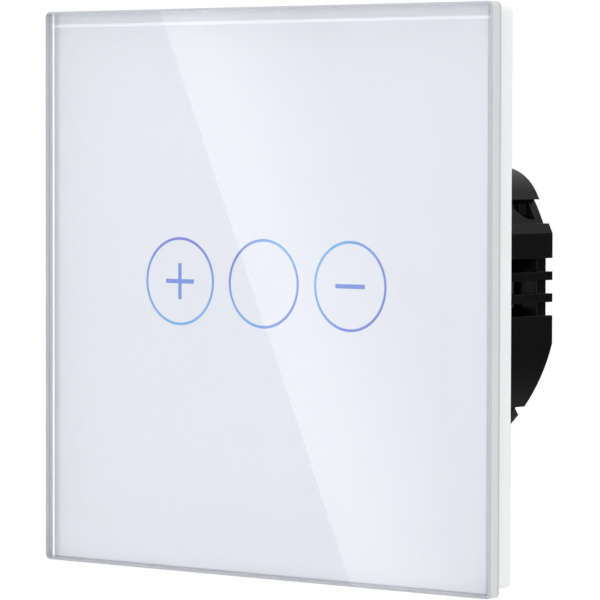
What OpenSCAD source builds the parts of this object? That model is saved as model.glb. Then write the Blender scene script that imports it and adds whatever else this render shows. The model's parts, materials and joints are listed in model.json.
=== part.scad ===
// Touch dimmer for a round flush wall box.
// A glass panel with three printed touch keys snaps over a steel mounting frame, which carries a black
// moulded housing with the touch board, the power board and the cable terminals.
// The origin is the middle of the wall plane. +X is to the right, +Y goes into the wall and +Z is up.

/* [Glass panel] */
// Width and height of the glass
panel_w = 86; // [85:0.5:88]
// Thickness of the glass
glass_t = 2.5; // [2:0.1:2.8]
// Chamfer on every long edge of the glass
glass_chamfer = 0.3; // [0.1:0.05:0.5]
// Radius of the glass panel's four corners
glass_corner = 0.9; // [0.6:0.1:2]
// Distance from the wall to the front of the glass
panel_depth = 6; // [5.8:0.1:6.2]
// Clear glass beside and above the print
print_margin = 1.75; // [1:0.05:1.9]
// Clear glass below the print
print_margin_bottom = 0.6; // [0.5:0.05:1.9]

/* [Touch keys] */
// Distance between the middles of neighbouring rings
key_pitch = 16.4; // [16:0.1:17]
// Height of the row of rings above the middle of the panel
key_z = 1.4; // [0:0.1:2]
// Outer diameter of a printed ring
ring_d = 13.5; // [13:0.1:14]
// Line width of a printed ring
ring_line = 0.4; // [0.3:0.05:0.6]
// Length of the bars of the plus and the minus
sign_w = 5.5; // [4:0.1:6]
// Line width of the plus and the minus
sign_line = 0.65; // [0.4:0.05:1]

/* [Panel carrier] */
// Width and height of the white carrier behind the glass
carrier_w = 84.6; // [84:0.1:84.8]
// Distance of the carrier's lower edge below the middle of the panel
carrier_low = 41.85; // [41.6:0.05:42.3]
// Thickness of the carrier's rim
carrier_wall = 1.6; // [1.2:0.1:1.6]
// Width and height of the opening in the carrier
carrier_opening = 66; // [64:1:66]

/* [Mounting frame] */
// Width and height of the steel frame
frame_w = 71; // [70:0.5:71]
// Thickness of the steel frame
frame_t = 1; // [0.8:0.1:1]
// Distance between the two screws of the wall box
box_screw_pitch = 60; // [60:1:60]
// Width of a slot for a box screw
slot_w = 3.4; // [3.2:0.1:3.6]
// End-to-end length of a slot
slot_l = 5.4; // [5:0.1:5.4]

/* [Rear housing] */
// Radius of the round housing
housing_r = 29; // [29:0.1:29.2]
// Depth of the housing behind the wall plane
housing_depth = 31.5; // [31.3:0.1:31.7]
// Distance of the flat sides from the middle
housing_side = 27.85; // [27.8:0.05:28]
// Height of the flat top of the deep part
housing_top = 19; // [18.8:0.05:19.1]
// Thickness of the moulded walls
housing_wall = 1.6; // [1.5:0.1:1.6]
// Width of a side vent
vent_w = 2.05; // [1.8:0.05:2.1]
// Distance between neighbouring side vents
vent_pitch = 3.37; // [3.3:0.01:3.5]

/* [Terminals] */
// Distance between neighbouring poles
pole_pitch = 7; // [7:0.1:7]
// Radius of a cable entry
wire_r = 1.7; // [1.5:0.05:1.7]
// Travel of a rising clamp
clamp_travel = 2.5; // [2:0.1:2.5]

/* [Hidden] */
$fn = 48;

// Overshoot of a cut past the face it opens
cut = 0.1;

// Layers of the front panel, from the glass to the wall
glass_front = -panel_depth;
glass_back = glass_front + glass_t;
print_back = glass_back + 0.1;
tape_back = print_back + 0.1;
carrier_plate = 1;
carrier_back = tape_back + carrier_plate;

// Keys from left to right
key_x = [-key_pitch, 0, key_pitch];
ring_r = ring_d / 2;
guide_in_r = ring_r - 0.8;
guide_out_r = ring_r + 0.5;

// Snap hooks and the frame tabs that they hold
hook_z = 20;
hook_w = 10;
tab_reach = 38.2;
hook_x = 38.5;
hook_t = 1.4;

// Mounting frame screws, on a circle round the middle
fixing_r = 25;
fixing_shank_r = 1.3;
fixing_at = fixing_r * cos(45);

// Tub of the front cover and what stands in it
tub_r = 26.9;
tub_x = 25.2;
tub_low = -10;
tub_high = 13;
tub_wall = 0.7;
tub_floor = 3;
cover_t = 0.8;
cover_front = -frame_t - cover_t;
touch_front = 0.6;
touch_back = 1.6;

// Pin strip between the two boards
pin_count = 5;
pin_pitch = 2.54;
pin_r = 0.32;
strip_z = -7;
strip_w = pin_count * pin_pitch;

// Power board
power_front = 12;
power_back = 13.6;

// Rear housing
cavity_r = 27.2;
cavity_side = 25.4;
cavity_top = housing_top - housing_wall;
housing_bottom = -25.8;
cavity_bottom = housing_bottom + housing_wall;
floor_front = housing_depth - housing_wall;
drum_depth = 10;
drum_flat = 28.2;
pad_high = 10.35;
pad_low = -7.1;
channel_high = 14;
channel_r = 28.1;
pad_chamfer = 0.7;
pad_chamfer_high = 1.5;
vent_back = 29.1;
vent_mid = 0.65;
vent_bottom = 26.6;
latch_z = 12.2;

// Terminals, from the wire down to the screw head
pole_x = [-pole_pitch, 0, pole_pitch];
pole_y = 25;
block_x = 10.9;
block_top = -14;
block_back = 31;
cell_x = 2.95;
cell_front = 21.5;
cell_back = 29;
cell_low = -25.1;
cell_high = -14.5;
bar_high = -18.4;
bar_t = 0.8;
wire_z = -17;
clamp_x = 2.7;
clamp_y = 2.7;
clamp_high = -14.8;
clamp_low = -20.9;
screw_r = 1.5;
screw_head_r = 2.3;
screw_head_high = clamp_low - clamp_travel - 0.2;
screw_tip = bar_high - bar_t - 0.05;

// ---- Shared shapes ----

// Extrudes a shape drawn in X and Z from y0 to y1
module slab(y0, y1) {
    translate([0, y1, 0])
        rotate([90, 0, 0])
            linear_extrude(y1 - y0)
                children();
}

// Round rod along Y
module rod_y(r, y0, y1, x = 0, z = 0) {
    translate([x, y1, z])
        rotate([90, 0, 0])
            cylinder(r = r, h = y1 - y0);
}

// Box between two corners
module block(low, high) {
    translate(low)
        cube(high - low);
}

// Rectangle with round corners, centred
module rounded(w, h, r) {
    square([w - 2 * r, h], center = true);
    square([w, h - 2 * r], center = true);
    for (sx = [-1, 1], sz = [-1, 1])
        translate([sx * (w / 2 - r), sz * (h / 2 - r)])
            circle(r = r);
}

// Rectangle from x0 to x1 and z0 to z1
module window(x0, x1, z0, z1) {
    translate([x0, z0])
        square([x1 - x0, z1 - z0]);
}

// Repeats its children on both sides of the middle
module both_sides() {
    children();
    mirror([1, 0, 0])
        children();
}

// ---- Front panel ----

// One long cut that takes the chamfer off an edge along X at the given height
module edge_cut(y, z) {
    translate([0, y, z])
        rotate([45, 0, 0])
            cube([panel_w + 2, glass_chamfer * sqrt(2), glass_chamfer * sqrt(2)], center = true);
}

// Cut that takes the chamfer round one corner. inward is 1 on the front face and -1 on the back face
module corner_cut(y, inward) {
    at = panel_w / 2 - glass_corner;
    past = 0.5;
    intersection() {
        block([at, y - 1, at], [at + 2, y + 1, at + 2]);
        translate([at, y, at])
            rotate([-90, 0, 0])
                rotate_extrude()
                    polygon([
                        [glass_corner - glass_chamfer - past, -inward * past],
                        [glass_corner + past, -inward * past],
                        [glass_corner + past, inward * (glass_chamfer + past)]
                    ]);
    }
}

module glass_panel() {
    color([0.86, 0.93, 0.94, 0.5])
        difference() {
            slab(glass_front, glass_back)
                rounded(panel_w, panel_w, glass_corner);
            for (turn = [0:90:270])
                rotate([0, turn, 0]) {
                    edge_cut(glass_front, panel_w / 2);
                    edge_cut(glass_back, panel_w / 2);
                    corner_cut(glass_front, 1);
                    corner_cut(glass_back, -1);
                }
        }
}

module ring_shape(grow = 0) {
    difference() {
        circle(r = ring_r + grow);
        circle(r = ring_r - ring_line - grow);
    }
}

module minus_shape(length, line) {
    square([length, line], center = true);
}

module plus_shape(length, line) {
    minus_shape(length, line);
    square([line, length], center = true);
}

// Places a key's drawing on the glass
module on_key(i) {
    translate([key_x[i], key_z])
        children();
}

module glass_print() {
    color([0.96, 0.97, 1])
        difference() {
            slab(glass_back, print_back)
                window(-panel_w / 2 + print_margin, panel_w / 2 - print_margin,
                    -panel_w / 2 + print_margin_bottom, panel_w / 2 - print_margin);
            for (i = [0:2])
                slab(glass_back - cut, print_back + cut)
                    on_key(i)
                        ring_shape();
            slab(glass_back - cut, print_back + cut)
                on_key(0)
                    plus_shape(sign_w, sign_line);
            slab(glass_back - cut, print_back + cut)
                on_key(2)
                    minus_shape(sign_w, sign_line);
        }
}

module key_mark(i) {
    color([0.47, 0.62, 0.9])
        slab(glass_back, print_back)
            on_key(i)
                ring_shape();
}

module plus_mark() {
    key_mark(0);
    color([0.5, 0.58, 0.92])
        slab(glass_back, print_back)
            on_key(0)
                plus_shape(sign_w, sign_line);
}

module power_mark() {
    key_mark(1);
}

module minus_mark() {
    key_mark(2);
    color([0.5, 0.58, 0.92])
        slab(glass_back, print_back)
            on_key(2)
                minus_shape(sign_w, sign_line);
}

module glass_tape() {
    color([0.9, 0.9, 0.9])
        difference() {
            slab(print_back, tape_back)
                square(81.6, center = true);
            slab(print_back - cut, tape_back + cut)
                square(carrier_opening + 1, center = true);
        }
}

// One snap hook, which stands behind the carrier's plate
module snap_hook(z) {
    block([hook_x, carrier_back - cut, z - hook_w / 2], [hook_x + hook_t, -0.2, z + hook_w / 2]);
    block([hook_x - 0.2, -0.8, z - hook_w / 2], [hook_x + cut, -0.2, z + hook_w / 2]);
}

// Carrier's outline, moved inwards by a distance
module carrier_outline(inset, r) {
    high = carrier_w / 2 + carrier_low - 2 * inset;
    translate([0, (carrier_w / 2 - carrier_low) / 2])
        rounded(carrier_w - 2 * inset, high, r);
}

module panel_carrier() {
    color("white")
        difference() {
            union() {
                difference() {
                    slab(tape_back, 0)
                        carrier_outline(0, 1);
                    slab(carrier_back, cut)
                        carrier_outline(carrier_wall, 0.6);
                    slab(tape_back - cut, carrier_back + cut)
                        rounded(carrier_opening, carrier_opening, 2);
                }
                both_sides()
                    for (z = [-hook_z, hook_z])
                        snap_hook(z);
                for (x = [-12, 12], side = [-1, 1])
                    block([x - 0.6, carrier_back - cut, side * 38.4 - 0.6 - side * 1.8],
                        [x + 0.6, -0.6, side * 38.4 + 0.6 + side * 1.8]);
            }
            block([-4, -1.2, -carrier_low - cut], [4, cut, -carrier_low + carrier_wall + cut]);
        }
}

// ---- Mounting frame and front cover ----

// Outline of the cover's tub, grown by a clearance
module tub_outline(grow = 0) {
    intersection() {
        circle(r = tub_r + grow);
        window(-tub_x - grow, tub_x + grow, tub_low - grow, tub_high + grow);
    }
}

// Slot for a box screw, running outwards from the middle
module box_slot() {
    run = (slot_l - slot_w) / 2;
    translate([box_screw_pitch / 2, 0]) {
        square([2 * run, slot_w], center = true);
        for (s = [-run, run])
            translate([s, 0])
                circle(r = slot_w / 2);
    }
}

module mounting_frame() {
    color("silver")
        difference() {
            union() {
                slab(-frame_t, 0)
                    rounded(frame_w, frame_w, 4);
                both_sides()
                    for (z = [-hook_z, hook_z])
                        block([32.5, -2 * frame_t, z - 6], [tab_reach, -frame_t, z + 6]);
            }
            slab(-frame_t - cut, cut)
                tub_outline(0.2);
            for (turn = [0:90:270])
                slab(-frame_t - cut, cut)
                    rotate(turn)
                        box_slot();
            for (sx = [-1, 1], sz = [-1, 1])
                rod_y(fixing_shank_r + 0.15, -frame_t - cut, cut, sx * fixing_at, sz * fixing_at);
        }
}

module frame_screws() {
    head_r = 2.6;
    head_h = 1.3;
    color("gray")
        for (sx = [-1, 1], sz = [-1, 1])
            translate([sx * fixing_at, 0, sz * fixing_at])
                difference() {
                    union() {
                        rod_y(head_r, cover_front - head_h, cover_front);
                        rod_y(fixing_shank_r, cover_front - cut, 7.5);
                    }
                    for (turn = [0, 90])
                        rotate([0, turn, 0])
                            block([-1.6, cover_front - head_h - cut, -0.35],
                                [1.6, cover_front - head_h + 0.8, 0.35]);
                }
}

// Long arm that hooks into the latch window of the housing
module latch_arm() {
    block([22.3, tub_floor, latch_z - 1.2], [23.4, 29.2, latch_z + 1.2]);
    block([23.3, 27.4, latch_z - 0.6], [24.5, 29.2, latch_z + 1.2]);
}

module front_cover() {
    color([0.12, 0.12, 0.12])
        difference() {
            union() {
                slab(cover_front, -frame_t)
                    rounded(53.2, 53.2, 3);
                slab(-frame_t - cut, tub_floor + 1)
                    tub_outline();
                both_sides()
                    latch_arm();
                for (x = [-16, 16], z = [-8, 8])
                    rod_y(1.4, tub_floor, power_front, x, z);
            }
            slab(cover_front - cut, tub_floor)
                tub_outline(-tub_wall);
            slab(tub_floor - cut, tub_floor + 1 + cut)
                window(-strip_w / 2 - 0.3, strip_w / 2 + 0.3, strip_z - 1.6, strip_z + 1.6);
            for (sx = [-1, 1], sz = [-1, 1])
                rod_y(fixing_shank_r + 0.15, cover_front - cut, -frame_t + cut,
                    sx * fixing_at, sz * fixing_at);
        }
    color([0.12, 0.12, 0.12])
        for (x = [-20, 20], z = [-6.5, 9.5])
            rod_y(1.5, touch_back, tub_floor, x, z);
}

// ---- Touch board and what stands on it ----

module touch_board() {
    color([0.93, 0.93, 0.9])
        difference() {
            slab(touch_front, touch_back)
                tub_outline(-tub_wall - 0.2);
            for (i = [0:pin_count - 1])
                rod_y(pin_r + 0.08, touch_front - cut, touch_back + cut,
                    (i - (pin_count - 1) / 2) * pin_pitch, strip_z);
        }
}

// Point on a coil spring's wire, at turn t from 0 to the number of turns
function coil_point(t, turns, r, height) = [r * cos(360 * t), r * sin(360 * t), height * t / turns];

// Closed tube that follows a helix round Z
module coil(turns, r, wire_r, height, steps = 18, sides = 6) {
    n = round(turns * steps);
    points = [
        for (i = [0:n], j = [0:sides - 1])
            let (
                p = coil_point(i / steps, turns, r, height),
                a = 360 * i / steps,
                b = 360 * j / sides
            )
            [p[0] + wire_r * cos(b) * cos(a), p[1] + wire_r * cos(b) * sin(a), p[2] + wire_r * sin(b)]
    ];
    walls = [
        for (i = [0:n - 1], j = [0:sides - 1])
            let (k = (j + 1) % sides)
            [i * sides + j, i * sides + k, (i + 1) * sides + k, (i + 1) * sides + j]
    ];
    start = [[for (j = [sides - 1:-1:0]) j]];
    end = [[for (j = [0:sides - 1]) n * sides + j]];
    polyhedron(points = points, faces = concat(walls, start, end));
}

// Contact spring between the touch board and the back of the glass
module touch_spring(i) {
    wire_r = 0.17;
    top = print_back + 0.1;
    color("gold")
        translate([key_x[i], touch_front - wire_r, key_z])
            rotate([90, 0, 0])
                coil(5, 4.5, wire_r, touch_front - top - 2 * wire_r);
}

module touch_spring_left() {
    touch_spring(0);
}

module touch_spring_middle() {
    touch_spring(1);
}

module touch_spring_right() {
    touch_spring(2);
}

// Places of the ring lamps round a key's middle
led_reach = (guide_in_r + guide_out_r) / 2;
led_size = [1.6, 0.6, 0.8];

// Room for one lamp, grown by a clearance
module led_room(grow = 0) {
    translate([0, touch_front - led_size[1] / 2, 0])
        cube(led_size + [2 * grow, 2 * grow, 2 * grow], center = true);
}

// Ring of clear plastic that carries light from the lamps to the printed ring
module light_ring(i) {
    difference() {
        rod_y(guide_out_r, print_back + 0.2, touch_front, key_x[i], key_z);
        rod_y(guide_in_r, print_back, touch_front + cut, key_x[i], key_z);
        for (side = [-1, 1])
            translate([key_x[i], 0, key_z + side * led_reach])
                led_room(0.15);
    }
}

// Clear plastic post behind a printed sign
module light_post(i) {
    difference() {
        slab(print_back + 0.2, touch_front)
            on_key(i)
                children();
        translate([key_x[i], 0, key_z])
            led_room(0.15);
    }
}

module light_guide_left() {
    color([0.9, 0.95, 1, 0.6]) {
        light_ring(0);
        light_post(0)
            plus_shape(6.2, 2.2);
    }
}

module light_guide_middle() {
    color([0.9, 0.95, 1, 0.6])
        light_ring(1);
}

module light_guide_right() {
    color([0.9, 0.95, 1, 0.6]) {
        light_ring(2);
        light_post(2)
            minus_shape(6.2, 2.2);
    }
}

module indicator_leds() {
    color([0.95, 0.95, 0.8]) {
        for (x = key_x, side = [-1, 1])
            translate([x, 0, key_z + side * led_reach])
                led_room();
        for (x = [key_x[0], key_x[2]])
            translate([x, 0, key_z])
                led_room();
    }
}

// Chip with a row of legs on each long side, its foot on the plane y0, and rising towards +Y or -Y
module chip(x, z, w, h, rise, y0, direction, legs, leg_pitch) {
    translate([x, y0, z])
        mirror([0, direction < 0 ? 1 : 0, 0]) {
            block([-w / 2, 0.1, -h / 2], [w / 2, rise, h / 2]);
            for (i = [0:legs - 1], side = [-1, 1])
                translate([(i - (legs - 1) / 2) * leg_pitch, 0, side * (h / 2 + 0.25)])
                    block([-0.2, 0, -0.45], [0.2, 0.3, 0.45]);
        }
}

module touch_chip() {
    color([0.1, 0.1, 0.1])
        chip(0, 2, 8.6, 3.9, 1.2, touch_back, 1, 7, 1.2);
}

// Repeats its children at each pin of the strip
module at_pins() {
    for (i = [0:pin_count - 1])
        translate([(i - (pin_count - 1) / 2) * pin_pitch, 0, strip_z])
            children();
}

module pin_header() {
    color([0.1, 0.1, 0.1])
        difference() {
            block([-strip_w / 2, touch_back, strip_z - 1.25], [strip_w / 2, 4.1, strip_z + 1.25]);
            at_pins()
                rod_y(pin_r + 0.02, touch_back - cut, 4.1 + cut);
        }
}

module header_pins() {
    color("gold")
        at_pins()
            rod_y(pin_r, 0.2, 10);
}

module pin_socket() {
    color([0.1, 0.1, 0.1])
        difference() {
            block([-strip_w / 2, 4.4, strip_z - 1.25], [strip_w / 2, power_front, strip_z + 1.25]);
            at_pins()
                rod_y(pin_r + 0.08, 4.4 - cut, 10.4);
        }
}

// ---- Rear housing ----

// Deep part's outline: a circle with flat sides, top and bottom, and round top corners
module body_outline() {
    corner_r = 7.5;
    corner_z = housing_top - corner_r;
    // The corner stands a hair proud of the big circle, so that the two arcs cross instead of touching
    proud = 0.05;
    corner_x = sqrt(pow(housing_r - corner_r + proud, 2) - pow(corner_z, 2));
    intersection() {
        circle(r = housing_r, $fn = 96);
        square(2 * housing_side, center = true);
        polygon([
            [-40, housing_bottom], [40, housing_bottom],
            [2 * corner_x, 2 * corner_z], [0, 0], [-2 * corner_x, 2 * corner_z]
        ]);
    }
    window(-corner_x, corner_x, 0, housing_top);
    for (side = [-1, 1])
        translate([side * corner_x, corner_z])
            circle(r = corner_r);
}

// Thick pad on each flat side, where the vents are cut
module pad_outline() {
    polygon([
        [20, pad_low], [housing_side, pad_low], [housing_side, pad_high - pad_chamfer_high],
        [housing_side - pad_chamfer, pad_high], [20, pad_high]
    ]);
}

// Sunk channel for the latch, above the pad
module channel_cut() {
    difference() {
        slab(drum_depth, housing_depth + cut)
            window(20, 32, pad_high, channel_high);
        rod_y(channel_r, drum_depth - cut, housing_depth + 1);
    }
}

// Latch window: a slot with a curved lower edge, cut through the channel's floor
module latch_window() {
    intersection() {
        block([22, 23, latch_z - 1.4], [30, 29.6, latch_z + 1.5]);
        translate([20, 29, 16])
            rotate([0, 90, 0])
                cylinder(r = 5.1, h = 12);
    }
}

// V notch that parts the deep body from the terminal end
module side_notch() {
    slab(drum_depth, housing_depth + cut)
        polygon([[20.9, -18], [25, -18], [25, -21.5], [21.6, -19.35], [21.05, -18.5]]);
}

// Groove with a through slot in its floor
module side_vent(z) {
    block([vent_bottom, drum_depth, z - vent_w / 2], [32, housing_depth + cut, z + vent_w / 2]);
    block([cavity_side - cut, drum_depth, z - vent_w / 2], [32, vent_back, z + vent_w / 2]);
}

// Boss that a mounting frame screw bites into
module screw_boss() {
    difference() {
        rod_y(2.4, 0, 9.5);
        rod_y(fixing_shank_r + 0.02, -cut, 8.2);
    }
}

module rear_housing() {
    color([0.09, 0.09, 0.1]) {
        difference() {
            union() {
                slab(0, drum_depth)
                    intersection() {
                        circle(r = housing_r, $fn = 96);
                        square(2 * drum_flat, center = true);
                    }
                slab(drum_depth - 1, housing_depth)
                    body_outline();
                both_sides()
                    slab(drum_depth - 1, housing_depth)
                        pad_outline();
            }
            slab(-cut, drum_depth - housing_wall)
                intersection() {
                    circle(r = cavity_r, $fn = 96);
                    window(-cavity_side, cavity_side, -30, 30);
                }
            slab(-cut, floor_front)
                intersection() {
                    circle(r = cavity_r, $fn = 96);
                    window(-cavity_side, cavity_side, cavity_bottom, cavity_top);
                }
            both_sides() {
                channel_cut();
                latch_window();
                side_notch();
                for (i = [-1:1])
                    side_vent(vent_mid + i * vent_pitch);
            }
            block([-block_x - cut, power_back - 0.4, -30], [block_x + cut, 32, block_top + cut]);
            slab(housing_depth - 0.3, housing_depth + cut)
                window(-13, 13, -9.5, 2.5);
            for (i = [-2:2])
                slab(floor_front - cut, housing_depth + cut)
                    window(i * 5 - 1, i * 5 + 1, 5.5, 14.5);
        }
        for (sx = [-1, 1], sz = [-1, 1])
            translate([sx * fixing_at, 0, sz * fixing_at])
                screw_boss();
        both_sides()
            for (z = [-11.8, 7.4])
                block([23.9, power_back, z], [cavity_side + 0.5, floor_front + cut, z + 1.4]);
    }
}

// ---- Power board ----

module power_board() {
    color([0.12, 0.4, 0.2])
        difference() {
            slab(power_front, power_back)
                intersection() {
                    circle(r = 26.9, $fn = 96);
                    window(-25.1, 25.1, -24, 16.9);
                }
            both_sides()
                slab(power_front - cut, power_back + cut)
                    window(21.9, 30, latch_z - 1.6, latch_z + 1.6);
            for (x = pole_x)
                slab(power_front - cut, power_back + cut)
                    window(x - 2.05, x + 2.05, bar_high - bar_t - 0.05, bar_high + 0.05);
        }
}

module control_chip() {
    color([0.1, 0.1, 0.1])
        chip(-5, 6.5, 10.3, 4.6, 1.9, power_front, -1, 8, 1.27);
}

module optocoupler() {
    color([0.15, 0.15, 0.15])
        chip(8, 5, 4.8, 6.2, 3.2, power_front, -1, 2, 2.54);
}

module bridge_rectifier() {
    color([0.1, 0.1, 0.1])
        chip(-15, -1, 5, 4.2, 2.4, power_front, -1, 2, 2.54);
}

// Chip resistors on the front of the power board
module resistors() {
    color([0.08, 0.08, 0.08])
        for (i = [0:5])
            translate([9 + (i % 3) * 4, power_front, -1 - floor(i / 3) * 3])
                block([-1.6, -0.6, -0.8], [1.6, 0, 0.8]);
}

module film_capacitor() {
    color([0.9, 0.8, 0.15])
        block([4.5, power_back + 0.2, 8.8], [17.5, 26.6, 15.6]);
}

module snubber_capacitor() {
    color([0.85, 0.3, 0.15])
        block([0.5, power_back + 0.2, -11.8], [11, 22.6, -6.3]);
}

module electrolytic_capacitor() {
    color([0.12, 0.13, 0.2])
        rod_y(4.1, power_back + 0.2, 26.4, -3.2, 11.6);
}

// Toroid choke: position, core radii and height
choke_at = [-15.2, 4.5];
core_out = 6.2;
core_in = 3.4;
core_low = power_back + 1;
core_high = core_low + 5;

module choke_core() {
    color([0.85, 0.8, 0.3])
        difference() {
            rod_y(core_out, core_low, core_high, choke_at[0], choke_at[1]);
            rod_y(core_in, core_low - cut, core_high + cut, choke_at[0], choke_at[1]);
        }
}

module choke_winding() {
    wire = 0.7;
    color([0.72, 0.35, 0.15])
        translate([choke_at[0], 0, choke_at[1]])
            difference() {
                rod_y(core_out + wire, core_low - wire, core_high + wire);
                rod_y(core_in - wire, core_low - 1, core_high + 1);
                difference() {
                    rod_y(core_out, core_low, core_high);
                    rod_y(core_in, core_low - cut, core_high + cut);
                }
                block([-1.6, core_low - 1, -8], [1.6, core_high + 1, 8]);
            }
}

module supply_coil() {
    color([0.1, 0.1, 0.1]) {
        rod_y(4.1, power_back + 0.2, 15, -6.8, -8);
        rod_y(3.5, 14.9, 21, -6.8, -8);
        rod_y(4.1, 20.9, 22.2, -6.8, -8);
    }
}

module fuse() {
    color([0.1, 0.1, 0.12])
        rod_y(4.2, power_back + 0.2, 21.4, -17.6, -8.2);
}

module varistor() {
    color([0.1, 0.3, 0.75])
        translate([18.8, 19.6, -7.4])
            cylinder(r = 5, h = 3.6, center = true);
}

// Heat sink plate, the pad on it and the triac that is screwed to it
sink_low = -2.6;
sink_high = -1.1;
pad_t = 0.2;
triac_x = 12;
triac_hole_y = 26.2;

module heat_sink() {
    color("silver")
        difference() {
            union() {
                block([1.5, power_back + 0.4, sink_low], [22.5, 28.8, sink_high]);
                for (x = [1.5, 21])
                    block([x, power_back + 0.4, sink_low], [x + 1.5, 28.8, sink_high + 4]);
            }
            translate([triac_x, triac_hole_y, sink_low - cut])
                cylinder(r = 1.6, h = 2);
        }
}

module insulating_pad() {
    color([0.8, 0.8, 0.85])
        difference() {
            block([triac_x - 6.5, 15, sink_high], [triac_x + 6.5, 28.6, sink_high + pad_t]);
            translate([triac_x, triac_hole_y, sink_high - cut])
                cylinder(r = 1.6, h = 1);
        }
}

module triac() {
    low = sink_high + pad_t;
    color([0.12, 0.12, 0.12])
        block([triac_x - 5, 15.4, low + 1.3], [triac_x + 5, 23.6, low + 4.4]);
    color("silver") {
        difference() {
            block([triac_x - 5, 15.4, low], [triac_x + 5, 28.4, low + 1.3]);
            translate([triac_x, triac_hole_y, low - cut])
                cylinder(r = 1.6, h = 2);
        }
        for (i = [-1:1])
            block([triac_x + i * 2.54 - 0.35, power_back, low + 1.6],
                [triac_x + i * 2.54 + 0.35, 15.4, low + 2.1]);
    }
}

module triac_screw() {
    low = sink_high + pad_t + 1.3;
    color("gray")
        translate([triac_x, triac_hole_y, 0]) {
            translate([0, 0, sink_low - 1.8])
                cylinder(r = 1.5, h = low - sink_low + 2.2);
            translate([0, 0, low])
                cylinder(r = 2.2, h = 1.6);
            translate([0, 0, sink_low - 1.6])
                cylinder(r = 2.6, h = 1.6, $fn = 6);
        }
}

// ---- Terminals ----

module terminal_block() {
    color([0.1, 0.45, 0.3])
        difference() {
            block([-block_x, power_back, housing_bottom], [block_x, block_back, block_top]);
            for (x = pole_x) {
                block([x - cell_x, cell_front, cell_low], [x + cell_x, cell_back, cell_high]);
                rod_y(wire_r, cell_back - cut, block_back + cut, x, wire_z);
                slab(power_back - cut, cell_front + cut)
                    window(x - 2.05, x + 2.05, bar_high - bar_t - 0.05, bar_high + 0.05);
                translate([x, pole_y, housing_bottom - cut])
                    cylinder(r = 1.8, h = 1);
            }
        }
}

module terminal_bars() {
    color([0.8, 0.65, 0.35])
        for (x = pole_x)
            block([x - 2, power_front - 1, bar_high - bar_t], [x + 2, 28.3, bar_high]);
}

// Slotted screw that hangs under a contact bar
module terminal_screw(i) {
    color("silver")
        translate([pole_x[i], pole_y, 0])
            difference() {
                union() {
                    translate([0, 0, screw_head_high - 1.4])
                        cylinder(r = screw_head_r, h = 1.4);
                    translate([0, 0, screw_head_high - cut])
                        cylinder(r = screw_r, h = screw_tip - screw_head_high + cut);
                }
                block([-3, -0.35, screw_head_high - 1.5], [3, 0.35, screw_head_high - 0.7]);
            }
}

// Square loop round the contact bar, with the screw's thread in its lower wall
module terminal_clamp(i) {
    color([0.75, 0.75, 0.7])
        translate([pole_x[i], pole_y, 0])
            difference() {
                block([-clamp_x, -clamp_y, clamp_low], [clamp_x, clamp_y, clamp_high]);
                block([-clamp_x + 0.5, -clamp_y - cut, clamp_low + 1.4],
                    [clamp_x - 0.5, clamp_y + cut, clamp_high - 0.8]);
                translate([0, 0, clamp_low - cut])
                    cylinder(r = screw_r + 0.05, h = 2);
            }
}

module terminal_screw_left() {
    terminal_screw(0);
}

module terminal_screw_middle() {
    terminal_screw(1);
}

module terminal_screw_right() {
    terminal_screw(2);
}

module terminal_clamp_left() {
    terminal_clamp(0);
}

module terminal_clamp_middle() {
    terminal_clamp(1);
}

module terminal_clamp_right() {
    terminal_clamp(2);
}

glass_panel();
glass_print();
plus_mark();
power_mark();
minus_mark();
glass_tape();
panel_carrier();
mounting_frame();
frame_screws();
front_cover();
touch_board();
touch_spring_left();
touch_spring_middle();
touch_spring_right();
light_guide_left();
light_guide_middle();
light_guide_right();
indicator_leds();
touch_chip();
pin_header();
header_pins();
pin_socket();
rear_housing();
power_board();
control_chip();
optocoupler();
bridge_rectifier();
resistors();
film_capacitor();
snubber_capacitor();
electrolytic_capacitor();
choke_core();
choke_winding();
supply_coil();
fuse();
varistor();
heat_sink();
insulating_pad();
triac();
triac_screw();
terminal_block();
terminal_bars();
terminal_screw_left();
terminal_screw_middle();
terminal_screw_right();
terminal_clamp_left();
terminal_clamp_middle();
terminal_clamp_right();
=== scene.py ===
"""Looks of the touch dimmer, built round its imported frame: camera, studio, materials and fine pieces."""

import json
import math

import bmesh
import bpy
from mathutils import Matrix, Vector


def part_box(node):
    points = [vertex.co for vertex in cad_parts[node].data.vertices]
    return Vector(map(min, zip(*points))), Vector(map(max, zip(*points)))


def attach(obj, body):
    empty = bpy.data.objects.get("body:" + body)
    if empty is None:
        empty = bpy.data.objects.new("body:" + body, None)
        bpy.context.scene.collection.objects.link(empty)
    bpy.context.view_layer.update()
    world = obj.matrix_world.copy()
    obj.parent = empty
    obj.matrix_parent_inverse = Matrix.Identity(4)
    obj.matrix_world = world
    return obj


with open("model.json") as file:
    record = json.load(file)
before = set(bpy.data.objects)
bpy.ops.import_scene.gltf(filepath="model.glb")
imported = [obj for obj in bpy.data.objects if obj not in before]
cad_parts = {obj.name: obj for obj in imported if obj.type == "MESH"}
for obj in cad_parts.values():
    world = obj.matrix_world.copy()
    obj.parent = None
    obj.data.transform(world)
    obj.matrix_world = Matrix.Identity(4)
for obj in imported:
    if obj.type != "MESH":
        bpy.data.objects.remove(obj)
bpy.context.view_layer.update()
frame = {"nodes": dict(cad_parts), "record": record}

MM = 0.001
NODES = frame["nodes"]

# ---- What the frame says ----

glass_low, glass_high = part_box("glass_panel")
print_low, print_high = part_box("glass_print")


def middle(node):
    """Middle of a CAD node's box."""
    low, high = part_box(node)
    return (low + high) / 2


# ---- Camera: the photograph's angle, distance and lens ----

CAMERA_AZIMUTH = math.radians(38.23)
CAMERA_ELEVATION = math.radians(2.37)
CAMERA_ROLL = math.radians(0.12)
CAMERA_DISTANCE = 0.5823
CAMERA_OFFSET_RIGHT = 6.37 * MM
CAMERA_OFFSET_UP = -0.99 * MM
CAMERA_LENS = 232.54


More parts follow.
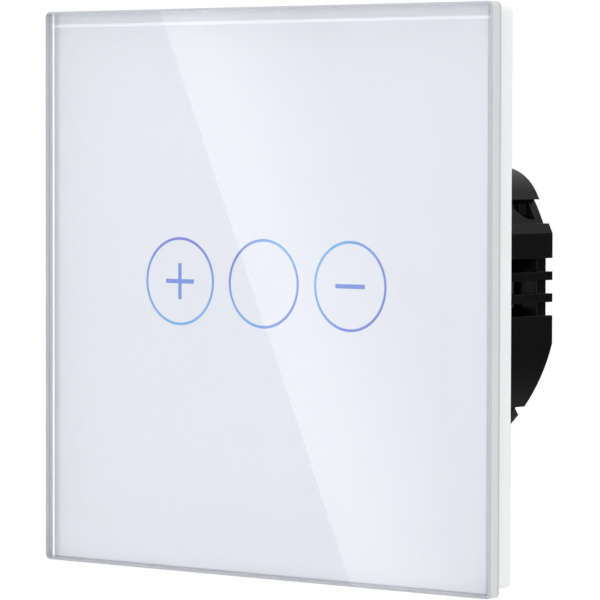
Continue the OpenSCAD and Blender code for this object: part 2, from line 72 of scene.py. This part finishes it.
def camera_axes():
    """Right, up and backward directions of the camera, and the point that it is measured from."""
    cos_e = math.cos(CAMERA_ELEVATION)
    back = Vector((math.sin(CAMERA_AZIMUTH) * cos_e, -math.cos(CAMERA_AZIMUTH) * cos_e,
                   math.sin(CAMERA_ELEVATION)))
    level = Vector((math.cos(CAMERA_AZIMUTH), math.sin(CAMERA_AZIMUTH), 0))
    upright = back.cross(level)
    right = math.cos(CAMERA_ROLL) * level + math.sin(CAMERA_ROLL) * upright
    up = back.cross(right)
    return right, up, back, Vector((0, glass_low.y, 0))


def make_camera():
    """Places the camera and makes it the scene's own."""
    right, up, back, origin = camera_axes()
    data = bpy.data.cameras.new("camera")
    data.lens = CAMERA_LENS
    data.sensor_width = 36
    data.clip_start = 0.01
    camera = bpy.data.objects.new("camera", data)
    bpy.context.scene.collection.objects.link(camera)
    place = origin + back * CAMERA_DISTANCE + right * CAMERA_OFFSET_RIGHT + up * CAMERA_OFFSET_UP
    turn = Matrix((right, up, back)).transposed().to_4x4()
    camera.matrix_world = Matrix.Translation(place) @ turn
    bpy.context.scene.camera = camera
    return camera


camera = make_camera()

# ---- Node tools ----

EDGE_RADIUS = 0.12 * MM


class Tree:
    """A material's or the world's node tree, with short calls for the nodes used here."""

    def __init__(self, holder):
        holder.use_nodes = True
        self.tree = holder.node_tree
        self.tree.nodes.clear()

    def add(self, kind, **settings):
        """A new shader node of a kind, with its settings."""
        node = self.tree.nodes.new("ShaderNode" + kind)
        for key, value in settings.items():
            setattr(node, key, value)
        return node

    def join(self, output, socket):
        self.tree.links.new(output, socket)

    def put(self, socket, value):
        """Sets a socket to a number or colour, or links an output to it."""
        if isinstance(value, bpy.types.NodeSocket):
            self.join(value, socket)
        else:
            socket.default_value = value

    def maths(self, operation, *values):
        """A sum or comparison of numbers and outputs."""
        node = self.add("Math", operation=operation)
        for socket, value in zip(node.inputs, values):
            self.put(socket, value)
        return node.outputs[0]

    def position(self, stretch=(1, 1, 1)):
        """The object's own coordinates in metres, stretched along its axes."""
        where = self.add("TexCoord").outputs["Object"]
        mapping = self.add("Mapping")
        self.join(where, mapping.inputs["Vector"])
        mapping.inputs["Scale"].default_value = stretch
        return mapping.outputs[0]

    def noise(self, scale, detail, stretch=(1, 1, 1)):
        """Cloudy pattern of a scale, in patches a metre."""
        node = self.add("TexNoise")
        self.join(self.position(stretch), node.inputs["Vector"])
        node.inputs["Scale"].default_value = scale
        node.inputs["Detail"].default_value = detail
        node.inputs["Roughness"].default_value = 0.55
        return node.outputs["Fac"]

    def spread(self, value, low, high, start=0.3, end=0.7):
        """Maps a value from start..end to low..high."""
        node = self.add("MapRange")
        self.put(node.inputs["Value"], value)
        for name, number in (("From Min", start), ("From Max", end), ("To Min", low), ("To Max", high)):
            node.inputs[name].default_value = number
        return node.outputs[0]

    def mix(self, factor, a, b):
        """Colour a at factor 0, colour b at factor 1."""
        node = self.add("Mix", data_type="RGBA")
        self.put(node.inputs["Factor"], factor)
        self.put(node.inputs[6], a)
        self.put(node.inputs[7], b)
        return node.outputs[2]

    def bump(self, height, strength, distance):
        """Relief from a height, on edges that catch the light as if they were rounded."""
        rounded = self.add("Bevel", samples=4)
        rounded.inputs["Radius"].default_value = EDGE_RADIUS
        node = self.add("Bump")
        self.join(rounded.outputs[0], node.inputs["Normal"])
        self.put(node.inputs["Height"], height)
        node.inputs["Strength"].default_value = strength
        node.inputs["Distance"].default_value = distance
        return node.outputs[0]

    def principled(self, **sockets):
        """The surface shader of the material, with its sockets set or linked."""
        shader = self.add("BsdfPrincipled")
        for name, value in sockets.items():
            self.put(shader.inputs[name.replace("_", " ")], value)
        output = self.add("OutputMaterial")
        self.join(shader.outputs[0], output.inputs["Surface"])
        return shader


def rgb(red, green, blue):
    return (red, green, blue, 1)


def material(name):
    """A new material and its tree."""
    found = bpy.data.materials.new(name)
    return found, Tree(found)


# ---- Materials ----

SKIN = 0.01 * MM
GROUND_EDGE = (0.675, 0.69, 0.705)
# Painted shade: the chamfers are coloured darker than the satin ground edge, the front one much darker
FRONT_CHAMFER_SHADE = (0.38, 0.39, 0.43)
REAR_CHAMFER_SHADE = (0.62, 0.63, 0.68)


def moulded(name, colour, roughness, grain, grain_scale, tone=0.06):
    """Moulded plastic: a fine even grain, slow flow marks in the gloss and a little tone."""
    made, t = material(name)
    flow = t.noise(90, 2, (1, 0.35, 1))
    fine = t.noise(grain_scale, 2)
    dark = tuple(c * (1 - tone) for c in colour)
    light = tuple(min(1, c * (1 + tone)) for c in colour)
    t.principled(
        Base_Color=t.mix(t.spread(flow, 0, 1), rgb(*dark), rgb(*light)),
        Roughness=t.spread(fine, roughness - 0.05, roughness + 0.06),
        Normal=t.bump(fine, 0.5, grain),
    )
    return made


def metal(name, colour, roughness, stretch, tint, metallic=1.0):
    """Plated or bare metal: grain along one way, cloudy plating and a changing gloss."""
    made, t = material(name)
    cloud = t.noise(260, 3)
    grain = t.noise(1500, 4, stretch)
    t.principled(
        Base_Color=t.mix(t.spread(cloud, 0, 1), rgb(*colour), rgb(*tint)),
        Metallic=metallic,
        Roughness=t.spread(grain, roughness - 0.08, roughness + 0.08),
        Normal=t.bump(grain, 0.25, 0.00001),
    )
    return made


GLASS_CORNER = 0.9 * MM
GLASS_CHAMFER = 0.3 * MM
# Painted shadow of the gap to the carrier: the ground edge darkens next to the carrier, by how much, and
# from where to where before the back face
CARRIER_PAINTED_SHADOW = 0.72
CARRIER_PAINTED_SHADOW_FROM, CARRIER_PAINTED_SHADOW_TO = 0.75 * MM, 0.4 * MM


def rim_distance(t, where):
    """How far a point of the glass stands outside the square between the centres of its round corners."""
    inner = glass_high.x - GLASS_CORNER
    legs = []
    for axis in ("X", "Z"):
        beyond = t.maths("SUBTRACT", t.maths("ABSOLUTE", where.outputs[axis]), inner)
        beyond = t.maths("MAXIMUM", beyond, 0)
        legs.append(t.maths("MULTIPLY", beyond, beyond))
    return t.maths("SQRT", t.maths("ADD", *legs))


def glass_material():
    """Clear glass with polished faces and faint smudges; its ground edges are satin, with painted shade on
    the chamfers and a painted shadow next to the carrier.
    """
    made, t = material("clear_glass")
    where = t.add("SeparateXYZ")
    t.join(t.position(), where.inputs[0])
    rim = rim_distance(t, where)
    ground = t.maths("GREATER_THAN", rim, GLASS_CORNER - GLASS_CHAMFER + SKIN)
    side = t.maths("GREATER_THAN", rim, GLASS_CORNER - SKIN)
    rear = t.maths("GREATER_THAN", where.outputs["Y"], (glass_low.y + glass_high.y) / 2)
    # Painted shade: the chamfers take the darker chamfer colours, front or rear
    chamfer = t.mix(rear, rgb(*FRONT_CHAMFER_SHADE), rgb(*REAR_CHAMFER_SHADE))
    # Painted shadow: the ground edge darkens towards the back face, next to the carrier
    shade = t.spread(where.outputs["Y"], 1, CARRIER_PAINTED_SHADOW,
                     glass_high.y - CARRIER_PAINTED_SHADOW_FROM, glass_high.y - CARRIER_PAINTED_SHADOW_TO)
    edge = t.add("VectorMath", operation="SCALE")
    edge.inputs[0].default_value = GROUND_EDGE
    t.join(shade, edge.inputs["Scale"])
    speckle = t.noise(2200, 3)
    clear = t.add("BsdfPrincipled")
    clear.inputs["Base Color"].default_value = rgb(0.985, 0.995, 0.992)
    clear.inputs["IOR"].default_value = 1.5
    clear.inputs["Transmission Weight"].default_value = 1.0
    t.join(t.spread(t.noise(45, 4), 0.0, 0.012, 0.45, 0.75), clear.inputs["Roughness"])
    satin = t.add("BsdfPrincipled")
    t.join(t.mix(side, chamfer, edge.outputs[0]), satin.inputs["Base Color"])
    t.join(t.spread(speckle, 0.45, 0.6), satin.inputs["Roughness"])
    t.join(t.bump(speckle, 0.4, 0.00001), satin.inputs["Normal"])
    both = t.add("MixShader")
    t.join(ground, both.inputs[0])
    t.join(clear.outputs[0], both.inputs[1])
    t.join(satin.outputs[0], both.inputs[2])
    output = t.add("OutputMaterial")
    t.join(both.outputs[0], output.inputs["Surface"])
    return made


PRINT_COLOUR = (0.878, 0.893, 0.953)
# Painted shade along the left edge: how deep, and from where to where, counted from the print's edge
LEFT_PAINTED_SHADE = 0.74
LEFT_PAINTED_SHADE_FROM, LEFT_PAINTED_SHADE_TO = -0.8 * MM, 0.55 * MM
# Painted light: how much the enamel is brightened towards the right and lower edges, and over what reach
EDGE_PAINTED_LIGHT = 1.07
EDGE_REACH = 6.5 * MM
# Painted highlights, two glowing lines standing in for light piped in the glass: their colour, then each
# one's place, half width and strength
GLEAM = (0.9, 0.95, 1.0)
UPPER_GLEAM = (print_high.z - 0.50 * MM, 0.32 * MM, 0.24)
LEFT_GLEAM = (print_low.x - 1.05 * MM, 0.30 * MM, 0.72)


def back_of_glass(name, colour_of):
    """Enamel seen through the glass, with painted shade at the left edge and painted light lifting it
    towards the right and lower edges, where the glass leaks light, and painted highlights: light piped
    along two thin glowing lines."""
    made, t = material(name)
    where = t.add("SeparateXYZ")
    t.join(t.position(), where.inputs[0])
    x, z = where.outputs["X"], where.outputs["Z"]
    # Painted shade at the left edge and painted light towards the right and lower edges
    left = t.spread(x, LEFT_PAINTED_SHADE, 1, print_low.x + LEFT_PAINTED_SHADE_FROM, print_low.x + LEFT_PAINTED_SHADE_TO)
    right = t.spread(x, 1, EDGE_PAINTED_LIGHT, print_high.x - EDGE_REACH, print_high.x)
    below = t.spread(z, EDGE_PAINTED_LIGHT, 1, print_low.z, print_low.z + EDGE_REACH)
    tone = t.maths("MULTIPLY", left, t.spread(t.noise(700, 2), 0.995, 1.005))
    tone = t.maths("MULTIPLY", tone, t.maths("MAXIMUM", right, below))
    colour = t.add("VectorMath", operation="SCALE")
    t.put(colour.inputs[0], colour_of(t, x, z))
    t.join(tone, colour.inputs["Scale"])
    # Painted highlights: the glow of two thin lines on the enamel
    upper_gleam = band(t, z, *UPPER_GLEAM)
    left_gleam = band(t, x, *LEFT_GLEAM)
    shader = t.principled(Base_Color=colour.outputs[0], Roughness=t.spread(t.noise(1800, 2), 0.42, 0.5))
    shader.inputs["Emission Color"].default_value = rgb(*GLEAM)
    t.join(t.maths("ADD", upper_gleam, left_gleam), shader.inputs["Emission Strength"])
    return made


def band(t, value, centre, half_width, height):
    """A soft band: height at the centre, falling to nothing at half_width on either side."""
    away = t.maths("ABSOLUTE", t.maths("SUBTRACT", value, centre))
    return t.spread(away, height, 0, 0, half_width)


def print_material():
    """White enamel behind the glass."""
    return back_of_glass("white_print", lambda t, x, z: PRINT_COLOUR)


def margin_material():
    """Grey sheet in the clear margin round the print, standing in for the shadowed carrier seen through the
    glass: painted shade, deeper to the right and below.
    """
    def colour_of(t, x, z):
        # Painted shade: darker grey to the right of the print and darker still below it
        right = t.spread(x, 0, 1, print_high.x - SKIN, print_high.x + 2 * SKIN)
        below = t.spread(z, 1, 0, print_low.z - 0.05 * MM, print_low.z)
        colour = t.mix(right, rgb(0.875, 0.89, 0.93), rgb(0.62, 0.64, 0.70))
        return t.mix(below, colour, rgb(0.50, 0.50, 0.55))
    return back_of_glass("margin_painted_shade", colour_of)


VIOLET = rgb(0.10, 0.13, 0.56)
SKY = rgb(0.10, 0.33, 0.68)
SIGN_REACH = 4 * MM
SIGN_BLEND = 0.3


def mark_material(name, node, turns, phase):
    """Translucent ink lit from behind: violet and sky blue take turns round the ring from phase on."""
    made, t = material(name)
    centre = middle(node)
    where = t.add("SeparateXYZ")
    t.join(t.position(), where.inputs[0])
    across = t.maths("SUBTRACT", where.outputs["X"], centre.x)
    upward = t.maths("SUBTRACT", where.outputs["Z"], centre.z)
    angle = t.maths("ARCTAN2", upward, across)
    wave = t.maths("COSINE", t.maths("MULTIPLY_ADD", angle, turns, -math.radians(phase)))
    blend = t.spread(wave, 0, 1, -0.9, 0.9)
    squares = [t.maths("MULTIPLY", leg, leg) for leg in (across, upward)]
    reach = t.maths("SQRT", t.maths("ADD", *squares))
    in_sign = t.maths("LESS_THAN", reach, SIGN_REACH)
    blend = t.maths("ADD", t.maths("MULTIPLY", blend, t.maths("SUBTRACT", 1, in_sign)),
                    t.maths("MULTIPLY", in_sign, SIGN_BLEND))
    shader = t.principled(Base_Color=rgb(0.05, 0.06, 0.09), Roughness=0.5)
    t.put(shader.inputs["Emission Color"], t.mix(blend, VIOLET, SKY))
    t.join(t.spread(t.noise(1500, 2), 0.96, 1.04), shader.inputs["Emission Strength"])
    return made


TRACKS_PER_METRE = 260
TRACK_WIDTH = 0.035
STRIPE_HALF = 0.9 * MM


def circuit_board(name, mask, copper):
    """Solder mask over copper tracks: straight runs and filled areas show as a lighter relief."""
    made, t = material(name)
    cells = t.add("TexBrick")
    turned = t.add("Mapping")
    turned.inputs["Rotation"].default_value = (math.radians(90), 0, 0)
    t.join(t.position(), turned.inputs["Vector"])
    t.join(turned.outputs[0], cells.inputs["Vector"])
    cells.inputs["Scale"].default_value = TRACKS_PER_METRE
    cells.inputs["Mortar Size"].default_value = TRACK_WIDTH
    cells.inputs["Color1"].default_value = rgb(0, 0, 0)
    cells.inputs["Color2"].default_value = rgb(0.25, 0.25, 0.25)
    cells.inputs["Mortar"].default_value = rgb(1, 1, 1)
    tracks = cells.outputs["Color"]
    weave = t.noise(2400, 2)
    t.principled(
        Base_Color=t.mix(tracks, rgb(*mask), rgb(*copper)),
        Roughness=t.spread(weave, 0.28, 0.4),
        Normal=t.bump(tracks, 0.3, 0.00003),
    )
    return made


def frosted(name, colour):
    """Clear plastic with a frosted skin."""
    made, t = material(name)
    haze = t.noise(1600, 2)
    t.principled(
        Base_Color=rgb(*colour),
        Roughness=t.spread(haze, 0.28, 0.45),
        IOR=1.49,
        Transmission_Weight=0.85,
        Normal=t.bump(haze, 0.3, 0.00002),
    )
    return made


def lamp_material():
    """Surface lamp: a pale body with a warm resin window."""
    made, t = material("lamp")
    resin = t.noise(900, 2)
    t.principled(
        Base_Color=t.mix(t.spread(resin, 0, 1), rgb(0.85, 0.78, 0.42), rgb(0.93, 0.92, 0.85)),
        Roughness=t.spread(resin, 0.2, 0.35),
    )
    return made


def wound_wire(name, colour, shadow, pitch):
    """Enamelled wire lying in close turns: rounded ridges one wire apart, with painted shade between the
    turns.
    """
    made, t = material(name)
    turns = t.add("TexWave", wave_type="BANDS", bands_direction="DIAGONAL", wave_profile="SIN")
    t.join(t.position(), turns.inputs["Vector"])
    turns.inputs["Scale"].default_value = 1 / pitch
    turns.inputs["Distortion"].default_value = 0.4
    ridge = turns.outputs["Fac"]
    t.principled(
        # Painted shade: the shadow colour fills the grooves between the turns
        Base_Color=t.mix(t.spread(ridge, 0, 1, 0.1, 0.5), rgb(*shadow), rgb(*colour)),
        Metallic=0.85,
        Roughness=t.spread(t.noise(900, 3), 0.2, 0.34),
        Normal=t.bump(ridge, 0.8, 0.00008),
    )
    return made


def sleeved_can():
    """Shrink sleeve of the electrolytic capacitor with its pale stripe down one side."""
    made, t = material("can_sleeve")
    where = t.add("SeparateXYZ")
    t.join(t.position(), where.inputs[0])
    away = t.maths("ABSOLUTE", t.maths("SUBTRACT", where.outputs["Z"], middle("electrolytic_capacitor").z))
    stripe = t.maths("LESS_THAN", away, STRIPE_HALF)
    fine = t.noise(900, 3)
    t.principled(
        Base_Color=t.mix(stripe, rgb(0.012, 0.016, 0.045), rgb(0.42, 0.44, 0.48)),
        Roughness=t.spread(fine, 0.2, 0.32),
        Normal=t.bump(fine, 0.4, 0.00001),
    )
    return made


MATERIALS = {
    "clear_glass": glass_material(),
    "white_print": print_material(),
    "tape": moulded("tape", (0.85, 0.85, 0.84), 0.7, 0.00003, 1200),
    "white_moulding": moulded("white_moulding", (0.89, 0.90, 0.905), 0.38, 0.000006, 2200, 0.008),
    "zinc_steel": metal("zinc_steel", (0.72, 0.74, 0.77), 0.34, (0.3, 1, 0.6), (0.66, 0.69, 0.74), 0.75),
    "screw_steel": metal("screw_steel", (0.74, 0.74, 0.72), 0.26, (1, 1, 1), (0.66, 0.66, 0.62)),
    "clamp_steel": metal("clamp_steel", (0.74, 0.71, 0.6), 0.34, (1, 0.1, 1), (0.7, 0.62, 0.48)),
    "black_moulding": moulded("black_moulding", (0.0036, 0.0036, 0.0041), 0.38, 0.000008, 2400, 0.1),
    "white_board": circuit_board("white_board", (0.8, 0.81, 0.78), (0.72, 0.74, 0.70)),
    "green_board": circuit_board("green_board", (0.012, 0.10, 0.03), (0.05, 0.22, 0.06)),
    "gold_wire": metal("gold_wire", (0.95, 0.70, 0.32), 0.22, (1, 1, 1), (0.88, 0.62, 0.26)),
    "clear_plastic": frosted("clear_plastic", (0.93, 0.96, 1.0)),
    "lamp": lamp_material(),
    "black_package": moulded("black_package", (0.018, 0.018, 0.02), 0.5, 0.00002, 3000, 0.12),
    "yellow_film": moulded("yellow_film", (0.72, 0.45, 0.03), 0.3, 0.00001, 900),
    "red_film": moulded("red_film", (0.42, 0.05, 0.02), 0.28, 0.00004, 500),
    "can_sleeve": sleeved_can(),
    "ferrite": moulded("ferrite", (0.52, 0.42, 0.06), 0.6, 0.00005, 1500, 0.12),
    "copper_wire": wound_wire("copper_wire", (0.72, 0.27, 0.10), (0.16, 0.05, 0.02), 0.0009),
    "blue_epoxy": moulded("blue_epoxy", (0.01, 0.06, 0.34), 0.3, 0.00004, 420),
    "aluminium": metal("aluminium", (0.82, 0.83, 0.84), 0.34, (1, 0.06, 1), (0.76, 0.77, 0.79)),
    "grey_pad": moulded("grey_pad", (0.42, 0.43, 0.46), 0.7, 0.00002, 1500),
    "triac_package": moulded("triac_package", (0.02, 0.02, 0.022), 0.5, 0.00002, 2400),
    "terminal_green": moulded("terminal_green", (0.012, 0.16, 0.075), 0.36, 0.00001, 2200),
    "plated_brass": metal("plated_brass", (0.80, 0.66, 0.38), 0.28, (1, 0.1, 1), (0.74, 0.58, 0.32)),
}
MARKS = {
    "plus_mark": mark_material("plus_light", "plus_mark", 1, -90),
    "power_mark": mark_material("power_light", "power_mark", 2, 110),
    "minus_mark": mark_material("minus_light", "minus_mark", 1, 140),
}


def paint(obj, made):
    """Gives an object one material."""
    obj.data.materials.clear()
    obj.data.materials.append(made)


def paint_frame():
    """Gives every CAD node the material of its slot in the record."""
    for row in frame["record"]["subparts"]:
        node = row["node"]
        paint(NODES[node], MARKS.get(node) or MATERIALS[row["material_slot"]])


paint_frame()

# ---- Optical contact of the printed layers ----


def sink_into_glass(node, depth):
    """Grows a printed layer a hair into the glass, so that ink and glass are in optical contact."""
    grow = NODES[node].modifiers.new("contact", "DISPLACE")
    grow.strength = depth
    grow.mid_level = 0


sink_into_glass("glass_print", 0.02 * MM)
for mark in MARKS:
    sink_into_glass(mark, 0.03 * MM)

# ---- Fine pieces ----

# Sheet of painted shade in the margin: its gap to the ground edge, and its reach in front of and behind the
# back face of the glass
MARGIN_SHADE_GAP = 0.03 * MM
MARGIN_SHADE_FRONT, MARGIN_SHADE_BACK = 0.015 * MM, 0.03 * MM


def piece(name, body, made, shape):
    """Turns a bmesh into an object that rides a body of the frame."""
    data = bpy.data.meshes.new(name)
    shape.to_mesh(data)
    shape.free()
    obj = bpy.data.objects.new(name, data)
    bpy.context.scene.collection.objects.link(obj)
    data.materials.append(made)
    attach(obj, body)
    return obj


def add_box(shape, low, high):
    """Adds a box between two corners to a bmesh."""
    size = Vector(high) - Vector(low)
    place = Matrix.Translation((Vector(low) + Vector(high)) / 2)
    bmesh.ops.create_cube(shape, size=1, matrix=place @ Matrix.Diagonal((*size, 1)))


def make_margin():
    """Sheet of painted shade laid on the back of the glass between the print and the ground edge."""
    shape = bmesh.new()
    x0, x1 = print_low.x - SKIN, print_high.x + SKIN
    z0, z1 = print_low.z - SKIN, print_high.z + SKIN
    reach = glass_high.x - GLASS_CHAMFER - MARGIN_SHADE_GAP
    front, back = glass_high.y - MARGIN_SHADE_FRONT, glass_high.y + MARGIN_SHADE_BACK
    add_box(shape, (-reach, front, z1), (reach, back, reach))
    add_box(shape, (-reach, front, -reach), (reach, back, z0))
    add_box(shape, (-reach, front, z0), (x0, back, z1))
    add_box(shape, (x1, front, z0), (reach, back, z1))
    return piece("margin_painted_shade", "front_panel", margin_material(), shape)


make_margin()

# ---- Studio ----


FRONT_LEVEL = 1.605
THROUGH_GLASS_LEVEL = 0.75
BACK_LEFT_LEVEL = 0.6
# Brightness behind the object against height: 0 is straight down, 0.5 the horizon and 1 straight up
BACK_LEVELS = (
    (0.0, 0.3), (0.14, 0.22), (0.26, 0.015), (0.5, 0.012),
    (0.62, 0.06), (0.76, 0.42), (1.0, 0.95),
)


def make_world():
    """White studio for the camera; for light and gloss, bright in front, behind to the left and above, and
    dark behind to the right and below."""
    world = bpy.data.worlds.new("studio")
    bpy.context.scene.world = world
    t = Tree(world)
    way = t.add("SeparateXYZ")
    t.join(t.add("TexCoord").outputs["Generated"], way.inputs[0])
    ramp = t.add("ValToRGB")
    t.join(t.spread(way.outputs["Z"], 0, 1, -1, 1), ramp.inputs["Fac"])
    elements = ramp.color_ramp.elements
    for element, (place, level) in zip(elements, (BACK_LEVELS[0], BACK_LEVELS[-1])):
        element.position, element.color = place, rgb(level, level, level)
    for place, level in BACK_LEVELS[1:-1]:
        elements.new(place).color = rgb(level, level, level)
    path = t.add("LightPath")
    left = t.spread(way.outputs["X"], 1, 0, -0.35, 0.05)
    back = t.mix(left, ramp.outputs["Color"], rgb(*[BACK_LEFT_LEVEL] * 3))
    back = t.mix(path.outputs["Is Transmission Ray"], back, rgb(*[THROUGH_GLASS_LEVEL] * 3))
    front = t.spread(way.outputs["Y"], 1, 0, -0.15, 0.25)
    level = t.mix(front, back, rgb(*[FRONT_LEVEL] * 3))
    background = t.add("Background")
    t.join(t.mix(path.outputs["Is Camera Ray"], level, rgb(1, 1, 1)), background.inputs["Color"])
    output = t.add("OutputWorld")
    t.join(background.outputs[0], output.inputs["Surface"])


def softbox(name, place, size, power):
    """Square soft lamp at a place, aimed at the object's middle."""
    data = bpy.data.lights.new(name, "AREA")
    data.shape = "SQUARE"
    data.size = size
    data.energy = power
    lamp = bpy.data.objects.new(name, data)
    bpy.context.scene.collection.objects.link(lamp)
    lamp.location = place
    lamp.rotation_euler = (-Vector(place)).to_track_quat("-Z", "Y").to_euler()


FLOOR_RADIUS = 0.6
FLOOR_DROP = 0.16


def make_floor():
    """Plain pale floor well under the object."""
    data = bpy.data.meshes.new("floor")
    shape = bmesh.new()
    bmesh.ops.create_circle(shape, cap_ends=True, segments=96, radius=FLOOR_RADIUS)
    shape.to_mesh(data)
    shape.free()
    floor = bpy.data.objects.new("floor", data)
    bpy.context.scene.collection.objects.link(floor)
    floor.location = (0, 0, glass_low.z - FLOOR_DROP)
    made, t = material("floor")
    t.principled(
        Base_Color=t.mix(t.spread(t.noise(3, 2), 0, 1), rgb(0.9, 0.9, 0.9), rgb(0.92, 0.92, 0.92)),
        Roughness=0.6,
    )
    paint(floor, made)
    floor.visible_glossy = False


make_world()
make_floor()
softbox("right_light", (0.9, -0.25, 0.35), 0.5, 0.5)

# ---- Reflection card: the bright slanted band in the glass ----

CARD_DISTANCE = 1.6
CARD_LEVEL = 1.7
# In shares of half the panel's width: where the sharp edge runs at top and bottom, and how wide the fade is
CARD_TOP, CARD_BOTTOM, CARD_WIDTH, CARD_REACH = -0.517, 0.483, 0.65, 1.15
# The fade: share of its width against brightness
CARD_FADE = ((0, 1), (0.29, 0.95), (0.55, 0.5), (1, 0))


def mirrored_camera():
    """The camera's place mirrored in the front of the glass."""
    place = camera.matrix_world.translation
    return Vector((place.x, 2 * glass_low.y - place.y, place.z))


def on_card(x, z):
    """Point of the card that the camera sees reflected at x, z on the front of the glass."""
    eye = mirrored_camera()
    ray = Vector((x, glass_low.y, z)) - eye
    return eye + ray * ((CARD_DISTANCE + eye.y - glass_low.y) / -ray.y)


def make_card():
    """Glowing card with a sharp slanted left edge, fading out to the right."""
    shares = (CARD_TOP, CARD_BOTTOM, CARD_WIDTH, CARD_REACH)
    top, bottom, width, reach = (share * glass_high.x for share in shares)
    data = bpy.data.meshes.new("reflection_card")
    shape = bmesh.new()
    glow = shape.loops.layers.float_color.new("glow")
    for (start, start_level), (end, end_level) in zip(CARD_FADE, CARD_FADE[1:]):
        corners = (
            (top + start * width, reach, start_level), (bottom + start * width, -reach, start_level),
            (bottom + end * width, -reach, end_level), (top + end * width, reach, end_level),
        )
        face = shape.faces.new([shape.verts.new(on_card(x, z)) for x, z, _ in corners])
        for loop, (_, _, level) in zip(face.loops, corners):
            loop[glow] = (level, level, level, 1)
    shape.to_mesh(data)
    shape.free()
    card = bpy.data.objects.new("reflection_card", data)
    bpy.context.scene.collection.objects.link(card)
    made, t = material("reflection_card")
    level = t.add("VertexColor", layer_name="glow")
    light = t.add("Emission")
    t.join(t.maths("MULTIPLY", level.outputs["Color"], CARD_LEVEL), light.inputs["Strength"])
    both = t.add("AddShader")
    t.join(light.outputs[0], both.inputs[0])
    t.join(t.add("BsdfTransparent").outputs[0], both.inputs[1])
    output = t.add("OutputMaterial")
    t.join(both.outputs[0], output.inputs["Surface"])
    paint(card, made)
    card.visible_camera = False
    card.visible_diffuse = False
    card.visible_transmission = False
    card.visible_shadow = False


make_card()

scene = bpy.context.scene
scene.view_settings.view_transform = "Standard"
scene.view_settings.look = "None"
